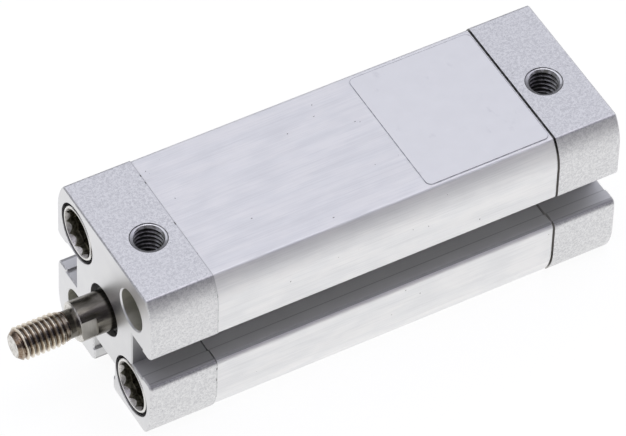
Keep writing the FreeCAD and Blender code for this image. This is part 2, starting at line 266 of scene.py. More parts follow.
class Outline:
    """A line drawn by hand: a vertex is extruded along each straight and spun round each arc."""

    def __init__(self, name, start):
        if bpy.context.object and bpy.context.object.mode == "EDIT":
            bpy.ops.object.mode_set(mode="OBJECT")
        bpy.ops.object.select_all(action="DESELECT")
        bpy.ops.mesh.primitive_plane_add(size=mm)
        self.piece = bpy.context.object
        self.piece.name = name
        bpy.ops.object.mode_set(mode="EDIT")
        bpy.ops.mesh.select_mode(type="VERT")
        bpy.ops.mesh.merge(type="CENTER")
        self.at = Vector(start) * mm
        bpy.ops.transform.translate(value=self.at)

    def line(self, *corners):
        for corner in corners:
            step = Vector(corner) * mm - self.at
            bpy.ops.mesh.extrude_region_move(TRANSFORM_OT_translate={"value": step})
            self.at = Vector(corner) * mm

    def arc(self, centre, degrees, steps, axis=(1, 0, 0)):
        middle = Vector(centre) * mm
        angle = math.radians(degrees)
        bpy.ops.mesh.spin(steps=steps, angle=-angle, center=middle, axis=axis)
        self.at = middle + Matrix.Rotation(angle, 3, Vector(axis)) @ (self.at - middle)


def activate(piece):
    bpy.ops.object.select_all(action="DESELECT")
    piece.select_set(True)
    bpy.context.view_layer.objects.active = piece


def into_edit(piece):
    activate(piece)
    bpy.ops.object.mode_set(mode="EDIT")
    bpy.ops.mesh.select_mode(type="VERT")


def out_of_edit():
    bpy.ops.object.mode_set(mode="OBJECT")


def weld_all():
    """Selects everything and merges the vertices that lie on each other."""
    bpy.ops.mesh.select_all(action="SELECT")
    bpy.ops.mesh.remove_doubles(threshold=weld)


def pick(piece, kind, test):
    """Selects the vertices or faces that pass a test on their place in millimetres, and no other."""
    bpy.ops.mesh.select_mode(type="VERT" if kind == "vertices" else "FACE")
    bpy.ops.mesh.select_all(action="DESELECT")
    out_of_edit()
    for part in getattr(piece.data, kind):
        place = (part.co if kind == "vertices" else part.center) / mm
        part.select = test(place, part.normal)
    bpy.ops.object.mode_set(mode="EDIT")


def modify(piece, kind, **settings):
    """Adds a modifier to the piece and applies it."""
    activate(piece)
    modifier = piece.modifiers.new(kind.lower(), kind)
    for name, value in settings.items():
        setattr(modifier, name, value)
    bpy.ops.object.modifier_apply(modifier=modifier.name)


def combine(piece, tools, operation):
    """Cuts each tool out of the piece, or joins or intersects the two, and deletes the tool."""
    for tool in tools:
        settings = {"operation": operation, "object": tool}
        modify(piece, "BOOLEAN", solver="EXACT", material_mode="TRANSFER", **settings)
        bpy.data.objects.remove(tool)


def smooth(piece):
    """Shades round faces smooth and keeps flat ones flat."""
    activate(piece)
    bpy.ops.object.shade_smooth_by_angle(angle=math.radians(smooth_angle))
    modify(piece, "WEIGHTED_NORMAL", weight=100, keep_sharp=True)


def slotted_face(name, inset, station):
    """The extrusion's cross-section at one station, drawn as its +Y half and mirrored."""
    side = half_width - inset
    flat = side - shoulder_setback
    centre = side - shoulder_radius
    tangent = side - math.sqrt(shoulder_radius ** 2 - (flat - centre) ** 2)
    bend = math.degrees(math.atan2(side - tangent, flat - centre))
    lip = slot_mouth + slot_lip_radius
    lip_centre = side - slot_lip_radius
    lip_end = half_width - slot_lip_depth
    slot_floor = half_width - slot_depth
    drawn = Outline(name, (station, 0, side))
    drawn.line((station, flat, side))
    drawn.arc((station, centre, tangent), -bend, shoulder_steps)
    drawn.line((station, side, lip))
    drawn.arc((station, lip_centre, lip), -90, lip_steps)
    drawn.line((station, lip_end, slot_mouth), (station, lip_end, slot_inner))
    drawn.line((station, slot_floor, slot_inner), (station, slot_floor, -slot_inner))
    drawn.line((station, lip_end, -slot_inner), (station, lip_end, -slot_mouth))
    drawn.line((station, lip_centre, -slot_mouth))
    drawn.arc((station, lip_centre, -lip), -90, lip_steps)
    drawn.line((station, side, -tangent))
    drawn.arc((station, centre, -tangent), -bend, shoulder_steps)
    drawn.line((station, lip, -side))
    drawn.arc((station, lip, -lip_centre), -90, lip_steps)
    drawn.line((station, slot_mouth, -lip_end), (station, slot_inner, -lip_end))
    drawn.line((station, slot_inner, -slot_floor), (station, 0, -slot_floor))
    out_of_edit()
    piece = drawn.piece
    modify(piece, "MIRROR", use_axis=(False, True, False), merge_threshold=weld)
    into_edit(piece)
    weld_all()
    bpy.ops.mesh.edge_face_add()

    def sharp_corner(place, normal):
        return abs(abs(place.y) - flat) < touch and abs(abs(place.z) - side) < touch

    pick(piece, "vertices", sharp_corner)
    settings = {"segments": 3, "affect": "VERTICES", "clamp_overlap": False}
    bpy.ops.mesh.bevel(offset=corner_round * mm, **settings)
    bpy.ops.mesh.select_all(action="SELECT")
    return piece


def push(distance):
    """Extrudes what is selected along the rod's axis, and back for a negative distance."""
    bpy.ops.mesh.extrude_region_move(TRANSFORM_OT_translate={"value": (distance * mm, 0, 0)})


def break_rim(piece, station, size):
    """Draws the face at one end in by a small chamfer that runs all round it."""

    def end_face(place, normal):
        return abs(place.x - station) < touch and abs(normal.x) > 0.9

    pick(piece, "polygons", end_face)
    bpy.ops.mesh.inset(thickness=size * mm, depth=size * mm, use_even_offset=True)


def point_outwards():
    bpy.ops.mesh.select_all(action="SELECT")
    bpy.ops.mesh.normals_make_consistent(inside=False)


def stepped(start, *steps):
    """A profile from the axis and back to it, of plain steps: each one's radius and its end."""
    profile = [(start, 0)]
    for radius, end in steps:
        profile += [(start, radius), (end, radius)]
        start = end
    return profile + [(start, 0)]


def turned(name, profile, axis="X", centre=(0.0, 0.0)):
    """A solid turned from a profile of places along an axis and radii, from axis to axis."""

    def point(along, radius):
        if axis == "X":
            return (along, centre[0], centre[1] + radius)
        return (centre[0] + radius, centre[1], along)

    drawn = Outline(name, point(*profile[0]))
    drawn.line(*[point(*corner) for corner in profile[1:]])
    bpy.ops.mesh.select_all(action="SELECT")
    middle = Vector(point(0.0, 0.0)) * mm
    line = (1, 0, 0) if axis == "X" else (0, 0, 1)
    bpy.ops.mesh.spin(steps=round_steps, angle=2 * math.pi, center=middle, axis=line)
    weld_all()
    point_outwards()
    out_of_edit()
    return drawn.piece


class Finish(Shader):
    """A piece's material, whose nodes start from the piece's own coordinates."""

    def __init__(self, name, metallic=1.0):
        self.material = bpy.data.materials.new(name)
        self.material.use_nodes = True
        super().__init__(self.material.node_tree)
        self.place = self.node("ShaderNodeTexCoord", output="Object")
        self.surface = self.tree.nodes["Principled BSDF"].inputs
        self.surface["Metallic"].default_value = metallic

    def coat(self, tone, roughness, height=None, depth=0.0):
        """Sets the colour, the roughness and a relief, whose height runs from 0 to 1 times a depth."""
        self.put(self.surface["Base Color"], tone)
        self.put(self.surface["Roughness"], roughness)
        if height:
            inputs = {"Height": height, "Strength": 1.0, "Distance": depth * mm}
            self.put(self.surface["Normal"], self.node("ShaderNodeBump", inputs=inputs))
        return self.material

    def noise(self, across, along=None, detail=2.0, shift=0.0):
        """Soft noise whose grains are this wide in millimetres, and this long along the rod's axis."""
        stretch = 1 / (across * mm)
        scale = (1 / ((along or across) * mm), stretch, stretch)
        inputs = {"Vector": self.place, "Scale": scale, "Location": (shift, shift, shift)}
        moved = self.node("ShaderNodeMapping", inputs=inputs)
        return self.node("ShaderNodeTexNoise", inputs={"Vector": moved, "Scale": 1.0, "Detail": detail})

    def radius(self):
        """The distance from the rod's axis in millimetres."""
        y, z = self.axis(self.place, "Y"), self.axis(self.place, "Z")
        return (y * y + z * z) ** 0.5 / mm

    def outwards(self):
        """How far out a place is to either side or downwards, whichever is more, in millimetres."""
        y, z = self.axis(self.place, "Y"), self.axis(self.place, "Z")
        wide = y.math("ABSOLUTE", y)
        return wide.math("MAXIMUM", wide, 0 - z) / mm


def barrel_aluminium():
    """Anodised extrusion: lengthwise die lines over a broad faint mottle, and a rare dark speck."""
    metal = Finish("barrel_aluminium")
    fine = metal.noise(0.12, 9.0, 3.0)
    broad = metal.noise(1.1, 60.0, 2.0, shift=3.1)
    cloud = metal.noise(2.6, 6.0, 3.0, shift=7.7)
    lines = 0.5 * fine + 0.2 * broad + 0.3 * cloud
    light = metal.blend(cloud.above(0.35, 0.65), (0.94, 0.942, 0.945), (0.965, 0.96, 0.955))
    shade = metal.blend(lines.above(0.3, 0.62), (0.845, 0.845, 0.85), light)
    speck = metal.noise(0.4, 0.4, 0.0, shift=1.3).above(0.9, 0.91)
    shade = metal.blend(speck, shade, (0.22, 0.2, 0.2))
    return metal.coat(shade, 0.5 + 0.12 * lines, metal.noise(0.03, 5.0, 1.0, shift=5.2), 0.02)


def mottled(
    name, patches, tones, roughness, relief, edges=None, fine=None, skin=None, metallic=1.0
):
    """A finish of patches in two tones, with edges where they are sharp.

    The patches also rule the roughness and the relief, unless there is a fine noise for both or a
    skin for the relief. Each noise is its width, its length, its detail and its shift.
    """
    made = Finish(name, metallic)
    spread = made.noise(*patches)
    grain = made.noise(*fine) if fine else spread
    height = made.noise(*skin) if skin else grain
    mask = spread.above(*edges) if edges else spread
    tone = made.blend(mask, *tones)
    return made.coat(tone, roughness[0] + roughness[1] * grain, height, relief)


def slot_aluminium(name, grey):
    """The slots' inner walls: painted shade, with die lines and a darker band behind the lip."""
    metal = Finish(name)
    lines = metal.noise(0.2, 12.0, 3.0, shift=1.7)
    light = grey + 0.1
    tone = metal.blend(lines, (grey, grey, grey), (light, light, light))
    # A band of painted shade on the walls just behind each lip's step
    deep = metal.outwards()
    start, end = (half_width - slot_lip_depth - behind for behind in lip_step_shade)
    edge_shade = deep.above(start, start + close) * (1 - deep.above(end - close, end))
    tone = metal.blend(edge_shade * 0.3, tone, (0.2, 0.2, 0.2))
    return metal.coat(tone, 0.5 + 0.12 * lines, lines, 0.004)


def seam_aluminium():
    """The broken edges at the bearing cap's joint: clean metal with a few dark nicks and dirt."""
    metal = Finish("seam_aluminium")
    nicks = metal.noise(1.1, 1.1, 1.0, shift=3.3).above(0.62, 0.68)
    grain = metal.noise(0.15, 0.15, 2.0)
    clean = metal.blend(grain, (0.62, 0.62, 0.63), (0.78, 0.78, 0.78))
    tone = metal.blend(nicks, clean, (0.09, 0.09, 0.085))
    return metal.coat(tone, 0.45 + 0.15 * grain, grain, 0.006)


barrel_metal = barrel_aluminium()
# The slots' walls, floors and lips take greys darker than the barrel's: painted shade.
slot_metal = slot_aluminium("slot_aluminium", 0.8)
slot_floor_metal = slot_aluminium("slot_floor_aluminium", 0.42)
slot_lip_metal = slot_aluminium("slot_lip_aluminium", 0.45)
seam_metal = seam_aluminium()

# Faces and holes cut after extrusion: brighter, smooth, with faint tool marks.
cut_metal = mottled(
    "machined_aluminium", patches=(3.5, 3.5, 2.0, 2.2), fine=(0.15, 0.15, 3.0),
    tones=((0.74, 0.74, 0.75), (0.82, 0.82, 0.82)), roughness=(0.36, 0.08), relief=0.002,
)
# Tapped threads and joints: dull and dark as painted shade, lighter in patches.
painted_shade_tones = ((0.13, 0.13, 0.12), (0.30, 0.30, 0.30))
tapped_metal = mottled(
    "tapped_aluminium", patches=(0.6, 0.6, 3.0, 2.4), edges=(0.35, 0.65),
    fine=(0.1, 0.1, 2.0), tones=painted_shade_tones, roughness=(0.3, 0.15), relief=0.004,
)


def machine(piece, metal, test):
    """Gives another finish to the faces whose place and normal pass the test."""
    for face in piece.data.polygons:
        if test(face.center / mm, face.normal):
            face.material_index = piece.data.materials.find(metal.name)


def slot_bottom(place, normal):
    """Whether a face is the floor of one of the three slots, darkened as painted shade."""
    outwards = max(abs(place.y), -place.z)
    return abs(outwards - half_width + slot_depth) < close and abs(normal.x) < 0.1


def inside_slot(place, normal):
    """Whether a face is a wall, the floor or the rounded lip of one of the three slots."""
    across, outwards, lean = place.z, abs(place.y), normal.z
    if place.z < -abs(place.y):
        across, outwards, lean = place.y, -place.z, normal.y
    near = abs(across) < slot_mouth + slot_lip_radius and outwards > half_width - slot_depth - close
    floor_wall = outwards < half_width - slot_depth + close
    return near and outwards < half_width - touch and (abs(lean) > slot_shade or floor_wall)


def slot_lip(place, normal):
    """Whether a face is the inner half of a slot's rounded lip."""
    outwards = max(abs(place.y), -place.z)
    return inside_slot(place, normal) and outwards > half_width - slot_lip_radius


def finish_section(piece, outside, walls, *others):
    """Gives a slotted piece its finish, its slots theirs, and room for the others."""
    for metal in (outside, walls, slot_floor_metal, slot_lip_metal) + others:
        piece.data.materials.append(metal)
    machine(piece, walls, inside_slot)
    machine(piece, slot_lip_metal, slot_lip)
    machine(piece, slot_floor_metal, slot_bottom)


def along_tool(name, y, z, profile):
    """A cutter turned about a line along the body, which leaves a machined surface."""
    tool = turned(name, profile, "X", (y, z))
    tool.data.materials.append(cut_metal)
    return tool


o_ring_pocket_radius = 7.4
o_ring_pocket_depth = 1.25
overrun = 1.0

barrel = slotted_face("slotted_barrel", barrel_inset, barrel_front - barrel_end_break)
push(barrel_back - barrel_front + 2 * barrel_end_break)
point_outwards()
break_rim(barrel, barrel_front - barrel_end_break, barrel_end_break)
break_rim(barrel, barrel_back + barrel_end_break, barrel_end_break)
out_of_edit()
finish_section(barrel, barrel_metal, slot_metal, seam_metal)

pocket_front = barrel_front - o_ring_pocket_depth
pocket_back = barrel_back + o_ring_pocket_depth
bore_profile = stepped(
    barrel_front + overrun, (o_ring_pocket_radius, pocket_front), (bore_radius, pocket_back),
    (o_ring_pocket_radius, barrel_back - overrun),
)
barrel_tools = [along_tool("bore_tool", 0, 0, bore_profile)]
for corners, radius in ((screw_corners, tapped_hole_radius), (open_corners, through_hole_radius)):
    long_hole = stepped(barrel_front + overrun, (radius, barrel_back - overrun))
    for y, z in corners:
        barrel_tools.append(along_tool("hole_tool", y, z, long_hole))
combine(barrel, barrel_tools, "DIFFERENCE")


def slot_seam(place, normal):
    """The broken edge of the slots' walls at the bearing cap, darkened as painted shade."""
    near = abs(place.z) < slot_mouth + slot_lip_radius
    near = near and abs(place.y) > half_width - slot_depth - close
    return near and place.x > barrel_front - barrel_end_break and normal.x < 0.9


def barrel_seam(place, normal):
    """The broken edge all round the barrel's front."""
    return place.x > barrel_front - barrel_end_break and normal.x < 0.9


barrel.data.materials.append(tapped_metal)
machine(barrel, seam_metal, barrel_seam)
machine(barrel, tapped_metal, slot_seam)
smooth(barrel)
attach(barrel, "body")
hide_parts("barrel")


# Sealing rings: two nitrile rings squeezed between the barrel's recesses and the caps' spigots.
# They and the moving seals share one finish, black nitrile with a soft bloom on its skin.


def dress(node, material):
    """Gives a CAD node its finish."""
    nodes[node].data.materials.clear()
    nodes[node].data.materials.append(material)


rubber = mottled(
    "seal_rubber", metallic=0.0, patches=(0.5, 0.5, 3.0), skin=(0.08, 0.08, 2.0),
    tones=((0.018, 0.018, 0.019), (0.045, 0.045, 0.047)),
    roughness=(0.42, 0.2), relief=0.004,
)
seals = ("bearing_cap_o_ring", "end_cap_o_ring", "rod_seal", "piston_seal_front", "piston_seal_rear")
for node in seals:
    dress(node, rubber)


# Air ports: M5 threads tapped into the top of both caps, 1.9 mm off the middle, with a small
# countersink. A drilling under each leads to the passage through the cap's spigot.
port_offset = 1.9
port_depth = 5.0
port_rim = 2.76
port_edge = 0.12
port_ring = 2.28
port_ring_fall = 0.08
front_port_inset = 6.0
rear_port_inset = 5.8
front_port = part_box("bearing_cap")[1].x / mm - front_port_inset
rear_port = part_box("end_cap")[0].x / mm + rear_port_inset
port_thread_turns = 11
thread_pitch = 0.8
thread_outer = 2.5
thread_inner = 2.14
thread_crest = 0.125
thread_root = 0.25
thread_steps = 64
thread_bite = 0.05
drilling_radius = 0.7
passage_height = 5.0


def threaded(name, inner, outer, pitch, turns, steps=thread_steps):
    """A closed right-handed screw thread about the rod's axis, which runs from the origin to +X."""
    crest = pitch * thread_crest
    root = pitch * thread_root
    flank = (pitch - crest - root) / 2
    drawn = Outline(name, (0, 0, inner))
    drawn.line((flank, 0, outer), (flank + crest, 0, outer), (pitch - root, 0, inner))
    drawn.line((pitch, 0, inner))
    out_of_edit()
    modify(
        drawn.piece, "SCREW", axis="X", screw_offset=pitch * mm, steps=steps, iterations=turns,
        use_merge_vertices=True, merge_threshold=weld,
    )
    into_edit(drawn.piece)
    weld_all()
    bpy.ops.mesh.select_all(action="DESELECT")
    bpy.ops.mesh.select_non_manifold()
    bpy.ops.mesh.fill_holes(sides=0)
    point_outwards()
    out_of_edit()
    return drawn.piece


def move(piece, x=0.0, y=0.0, z=0.0, upright=False):
    """Puts a piece in place inside its mesh, turned first from along X to along Z where it must be."""
    if upright:
        piece.data.transform(Matrix.Rotation(-math.pi / 2, 4, "Y"))
    piece.data.transform(Matrix.Translation(Vector((x, y, z)) * mm))


def port_tools(station):
    """The cutters of one port: drilling, thread and countersink."""
    floor_height = half_width - port_depth
    top = half_width + overrun
    centre = (station, port_offset)
    core = stepped(passage_height, (drilling_radius, floor_height), (thread_inner, top))
    core_radius = thread_inner - thread_bite
    thread = threaded("port_thread", core_radius, thread_outer, thread_pitch, port_thread_turns)
    move(thread, station, port_offset, floor_height - 2 * overrun, upright=True)
    sleeve = stepped(floor_height + close, (thread_outer + overrun, top))
    combine(thread, [turned("port_sleeve", sleeve, "Z", centre)], "INTERSECT")
    ring_top = half_width - port_edge
    ring_base = ring_top - port_ring_fall
    sink_base = ring_base - port_ring + thread_inner
    sink = [(sink_base, 0), (sink_base, thread_inner), (ring_base, port_ring)]
    sink += [(ring_top, port_rim - port_edge), (half_width, port_rim), (top, port_rim), (top, 0)]
    drilling = turned("port_drilling", core, "Z", centre)
    # The port's drilling and thread take the dark tapped finish: painted shade.
    for tool in (drilling, thread):
        tool.data.materials.clear()
        tool.data.materials.append(tapped_metal)
    countersink = turned("port_countersink", sink, "Z", centre)
    countersink.data.materials.append(cut_metal)
    countersink.data.materials.append(tapped_metal)
    # The countersink's outer edge also takes the tapped finish's painted shade.
    machine(countersink, tapped_metal, lambda place, normal: ring_top < place.z < half_width)
    return [drilling, thread, countersink]


# Bearing cap: sawn from the same extrusion, blasted and anodised, then machined. It has a spigot
# for the bore, a stepped gland for the rod, counterbores for two screws and two open holes.
edge_break = 0.2
spigot_radius = 5.98
gland_radius = 4.0
wiper_groove_radius = 4.5
seal_pocket_radius = 4.4
wiper_groove_start = 1.2
wiper_groove_end = 3.3
seal_pocket_start = 9.5
counterbore_radius = 4.6
counterbore_depth = 8.2
hole_countersink = 0.2
mouth_break = 0.08
slot_seam_width = 0.12
passage_radius = 0.5
cap_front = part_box("bearing_cap")[1].x / mm
spigot_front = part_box("bearing_cap")[0].x / mm
groove_front = cap_front - wiper_groove_start
groove_back = cap_front - wiper_groove_end
seal_pocket = cap_front - seal_pocket_start


def cap_aluminium():
    """Blasted and anodised metal: fine light and dark grains, a little duller than the barrel."""
    metal = Finish("cap_aluminium")
    grain = 0.6 * metal.noise(0.2, 0.2, 4.0) + 0.4 * metal.noise(0.5, 0.5, 2.0, shift=3.6)
    cloud = metal.noise(2.2, 2.2, 3.0, shift=4.4)
    spots = metal.noise(0.42, 0.42, 1.0, shift=9.1).above(0.72, 0.8)
    shade = metal.blend(grain.above(0.38, 0.62), (0.62, 0.62, 0.63), (0.87, 0.87, 0.87))
    shade = metal.blend(cloud * 0.4, shade, (0.80, 0.80, 0.80))
    shade = metal.blend(spots * 0.45, shade, (0.3, 0.3, 0.31))
    return metal.coat(shade, 0.42 + 0.16 * grain, grain, 0.014)


cap_metal = cap_aluminium()
# The caps' slot walls: a darker grey, as painted shade.
cap_slot_metal = slot_aluminium("cap_slot_aluminium", 0.67)
# The open holes' walls: grey, with a film of yellowish oil.
hole_metal = mottled(
    "hole_aluminium", patches=(0.5, 2.0, 3.0, 8.2), roughness=(0.42, 0.16),
    tones=((0.66, 0.65, 0.57), (0.84, 0.83, 0.75)), relief=0.008,
)


def bored(outer, inwards, rim, *steps):
    """The profile of a stepped hole in a cap's outer face, with a chamfer round its mouth."""
    start = outer - inwards * overrun
    wide = steps[0][0] + rim
    return [(start, 0), (start, wide), (outer, wide)] + stepped(outer + inwards * rim, *steps)[1:]


def screw_hole_tools(outer, inner):
    """The cutters of a cap's four corner holes: two counterbored for screws and two open."""
    inwards = 1.0 if inner > outer else -1.0
    seat = (counterbore_radius, outer + inwards * counterbore_depth)
    clearance = (through_hole_radius, inner + inwards * overrun)
    counterbored = bored(outer, inwards, mouth_break, seat, clearance)
    countersunk = bored(outer, inwards, hole_countersink, clearance)
    tools = [along_tool("counterbore_tool", y, z, counterbored) for y, z in screw_corners]
    for y, z in open_corners:
        tool = along_tool("open_hole_tool", y, z, countersunk)
        tool.data.materials.append(hole_metal)
        machine(tool, hole_metal, lambda place, normal: abs(normal.x) < 0.1)
        tools.append(tool)
    return tools


def cap_seam(place, normal):
    """The strip of the cap's slot walls at the barrel: painted shade at the joint."""
    return inside_slot(place, normal) and place.x < barrel_front + slot_seam_width


front_cap = slotted_face("front_cap", 0.0, barrel_front)
push(slot_seam_width)
push(cap_front - edge_break - barrel_front - slot_seam_width)
point_outwards()
break_rim(front_cap, cap_front - edge_break, edge_break)
out_of_edit()
finish_section(front_cap, cap_metal, cap_slot_metal, seam_metal, tapped_metal)
machine(front_cap, seam_metal, lambda place, normal: place.x < barrel_front + slot_seam_width)
machine(front_cap, tapped_metal, cap_seam)
spigot = stepped(barrel_front + overrun, (spigot_radius, spigot_front))
combine(front_cap, [along_tool("spigot", 0, 0, spigot)], "UNION")

gland = bored(
    cap_front, -1, mouth_break, (gland_radius, groove_front), (wiper_groove_radius, groove_back),
    (gland_radius, seal_pocket), (seal_pocket_radius, spigot_front - overrun),
)
passage = stepped(front_port, (passage_radius, spigot_front - overrun))
front_tools = screw_hole_tools(cap_front, barrel_front)
front_tools.append(along_tool("gland_tool", 0, 0, gland))
front_tools.append(along_tool("passage_tool", port_offset, passage_height, passage))
combine(front_cap, front_tools + port_tools(front_port), "DIFFERENCE")
machine(front_cap, cut_metal, lambda place, normal: place.x > cap_front - touch or normal.x < -0.9)
smooth(front_cap)
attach(front_cap, "body")
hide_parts("bearing_cap")


# End cap: like the bearing cap but closed, with its port 5.8 mm from the rear face. A narrow step where
# it meets the barrel leaves the fine joint that runs round the body, dark with painted shade.
joint_gap = 0.25
joint_depth = 0.5
joint_overlap = 0.05
# The heights over which the joint's painted shade darkens towards the top
joint_shade_rise = (10.5, 13.0)
rear_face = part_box("end_cap")[0].x / mm
rear_spigot_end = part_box("end_cap")[1].x / mm


def joint_aluminium():
    """The narrow joint at the end cap: painted shade, darkest on top and paler down the sides."""
    metal = Finish("joint_aluminium")
    shade_mottle = metal.noise(0.6, 0.6, 3.0, shift=2.4)
    grain = metal.noise(0.1, 0.1, 2.0)
    height = metal.axis(metal.place, "Z") / mm
    # Painted shade in the joint: darker on top, paler down the sides
    top_shade = metal.blend(shade_mottle.above(0.35, 0.65), *painted_shade_tones)
    clean = metal.blend(shade_mottle, (0.34, 0.33, 0.32), (0.52, 0.51, 0.49))
    tone = metal.blend(height.above(*joint_shade_rise), clean, top_shade)
    return metal.coat(tone, 0.3 + 0.15 * grain, grain, 0.004)


joint_metal = joint_aluminium()
rear_cap = slotted_face("rear_cap", 0.0, rear_face + edge_break)
push(barrel_back - joint_gap - rear_face - edge_break)
point_outwards()
break_rim(rear_cap, rear_face + edge_break, edge_break)
out_of_edit()
finish_section(rear_cap, cap_metal, cap_slot_metal, joint_metal)
joint_land = slotted_face("joint_land", joint_depth, barrel_back)
push(-joint_gap - joint_overlap)
point_outwards()
out_of_edit()
joint_land.data.materials.append(cap_metal)
spigot = stepped(barrel_back - overrun, (spigot_radius, rear_spigot_end))
combine(rear_cap, [joint_land, along_tool("spigot", 0, 0, spigot)], "UNION")
passage = stepped(rear_port, (passage_radius, rear_spigot_end + overrun))
rear_tools = screw_hole_tools(rear_face, barrel_back)
rear_tools.append(along_tool("passage_tool", port_offset, passage_height, passage))
combine(rear_cap, rear_tools + port_tools(rear_port), "DIFFERENCE")
machine(rear_cap, cut_metal, lambda place, normal: place.x < rear_face + touch or normal.x > 0.9)
joint_start = barrel_back - joint_gap - close
machine(rear_cap, joint_metal, lambda place, normal: joint_start < place.x < barrel_back - touch)
smooth(rear_cap)
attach(rear_cap, "body")
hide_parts("end_cap")


# Rod gland: a sintered bronze bush pressed into the bearing cap, a cup seal behind it held by a
# pressed washer, and a polyurethane wiper snapped into the front groove, its lip on the rod.
rod_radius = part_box("piston_rod")[1].z / mm
wiper_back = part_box("rod_wiper")[0].x / mm
wiper_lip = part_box("rod_wiper")[1].x / mm
wiper_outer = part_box("rod_wiper")[1].z / mm
# The radii of the ring on the wiper's lip that carries painted highlights
lip_inside = (3.24, 3.3)
lip_outside = (3.42, 3.5)


def bearing_bronze():
    """Sintered bronze: a fine open grain, darker where the pores hold oil."""
    bronze = Finish("bearing_bronze")
    grain = bronze.noise(0.09, 0.09, 3.0)
    pores = grain.above(0.32, 0.45)
    tone = bronze.blend(pores, (0.16, 0.10, 0.05), (0.62, 0.44, 0.25))
    return bronze.coat(tone, 0.6 - 0.22 * pores, grain, 0.01)


def wiper_polymer():
    """Grey-brown polyurethane, a little greasy, so its gloss comes and goes."""
    polymer = Finish("wiper_polymer", 0.0)
    grease = polymer.noise(0.9, 0.9, 2.0)
    skin = polymer.noise(0.07, 0.07, 2.0)
    lip = polymer.radius().above(*lip_inside) * (1 - polymer.radius().above(*lip_outside))
    tone = polymer.blend(grease, (0.02, 0.02, 0.018), (0.06, 0.058, 0.05))
    # Arcs of painted highlight on the lip, where the grease mottle is high
    painted_lip_highlight = lip * grease.above(0.5, 0.62)
    tone = polymer.blend(painted_lip_highlight, tone, (0.55, 0.54, 0.48))
    return polymer.coat(tone, 0.28 + 0.25 * grease, skin, 0.003)


# Plain pressed steel with the faint lines of rolled sheet.
washer_metal = mottled(
    "washer_steel", patches=(0.1, 1.2, 3.0), roughness=(0.3, 0.15),
    tones=((0.44, 0.43, 0.42), (0.62, 0.61, 0.60)), relief=0.003,
)
dress("rod_bearing_bush", bearing_bronze())
dress("rod_seal_retainer", washer_metal)


def ring(name, profile, material, round_over):
    """A ring turned about the rod's axis from a closed profile, with its edges rounded over."""
    drawn = Outline(name, (profile[0][0], 0, profile[0][1]))
    drawn.line(*[(x, 0, radius) for x, radius in profile[1:] + profile[:1]])
    weld_all()
    bpy.ops.mesh.edge_face_add()
    settings = {"segments": 3, "affect": "VERTICES", "clamp_overlap": True}
    bpy.ops.mesh.bevel(offset=round_over * mm, **settings)
    bpy.ops.mesh.select_all(action="SELECT")
    bpy.ops.mesh.delete(type="ONLY_FACE")
    bpy.ops.mesh.select_all(action="SELECT")
    bpy.ops.mesh.spin(steps=round_steps, angle=2 * math.pi, center=(0, 0, 0), axis=(1, 0, 0))
    weld_all()
    point_outwards()
    out_of_edit()
    drawn.piece.data.materials.append(material)
    smooth(drawn.piece)
    return drawn.piece


wiper_setback = 1.25
wiper_edge_round = 0.04
rim_rise = 0.25
rim_foot = gland_radius - 0.12
rim_outside = gland_radius - 0.2
rim_inside = gland_radius - 0.36
gutter_depth = 0.1
wiper_root = (rod_radius + gland_radius) / 2
gutter_radius = wiper_root - 0.05
lip_radius = rod_radius + 0.03
lip_thickness = 0.14
wiper_front = cap_front - wiper_setback
rim_top = wiper_front + rim_rise
wiper_profile = [(wiper_back, wiper_outer), (wiper_front, wiper_outer), (wiper_front, rim_foot)]
wiper_profile += [(rim_top, rim_outside), (rim_top, rim_inside)]
wiper_profile += [(wiper_front - gutter_depth, gutter_radius)]
wiper_profile += [(wiper_lip, lip_radius + lip_thickness), (wiper_lip, lip_radius)]
wiper_profile += [(wiper_back, wiper_root)]
wiper = ring("wiper_ring", wiper_profile, wiper_polymer(), wiper_edge_round)
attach(wiper, "body")
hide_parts("rod_wiper")


# Flange screws: zinc-plated cap screws sunk level with the caps' faces. Each has a ring-shaped
# face, a twelve-toothed socket with a tapered lead-in, and an M4 thread below it for a bolt.
head_radius = 4.07
head_recess = 0.1
head_face_radius = 3.96
head_seat_depth = 8.2
shank_radius = 3.0
shank_length = 12.0
shank_chamfer = 0.4
socket_lead_radius = 3.74
socket_lead_depth = 0.75
# The radius of the notches, the radius of the teeth and the depth, of the wide step and the deep one
socket_mouth = (3.7, 3.48, 1.5)
socket_base = (3.6, 3.05, 2.6)
socket_teeth = 12
tooth_steps = 8
bolt_thread_outer = 2.0
bolt_thread_inner = 1.65
bolt_thread_pitch = 0.7
bolt_thread_depth = 17.0
bolt_thread_steps = 40
bolt_thread_turns = 20

# Zinc plate: a pale, slightly mottled shine, with fine turning marks round the head.
screw_metal = mottled(
    "screw_steel", patches=(0.7, 0.7, 3.0), fine=(0.06, 0.5, 3.0),
    tones=((0.66, 0.65, 0.62), (0.82, 0.81, 0.79)), roughness=(0.2, 0.16), relief=0.003,
)
# The inside of the socket: dark, oily and plated thin, with brown and olive patches.
socket_metal = mottled(
    "socket_steel", patches=(0.5, 0.5, 2.0, 5.0), edges=(0.35, 0.65),
    tones=((0.13, 0.12, 0.09), (0.30, 0.29, 0.23)), roughness=(0.24, 0.2),
    skin=(0.1, 0.1, 2.0), relief=0.004,
)
# The broached lead-in round the socket: scraped bright in places, and grey where it isn't.
lead_metal = mottled(
    "lead_steel", patches=(0.45, 0.45, 3.0, 6.5), edges=(0.38, 0.6),
    tones=((0.72, 0.70, 0.66), (0.96, 0.94, 0.91)), roughness=(0.34, 0.2), relief=0.01,
)


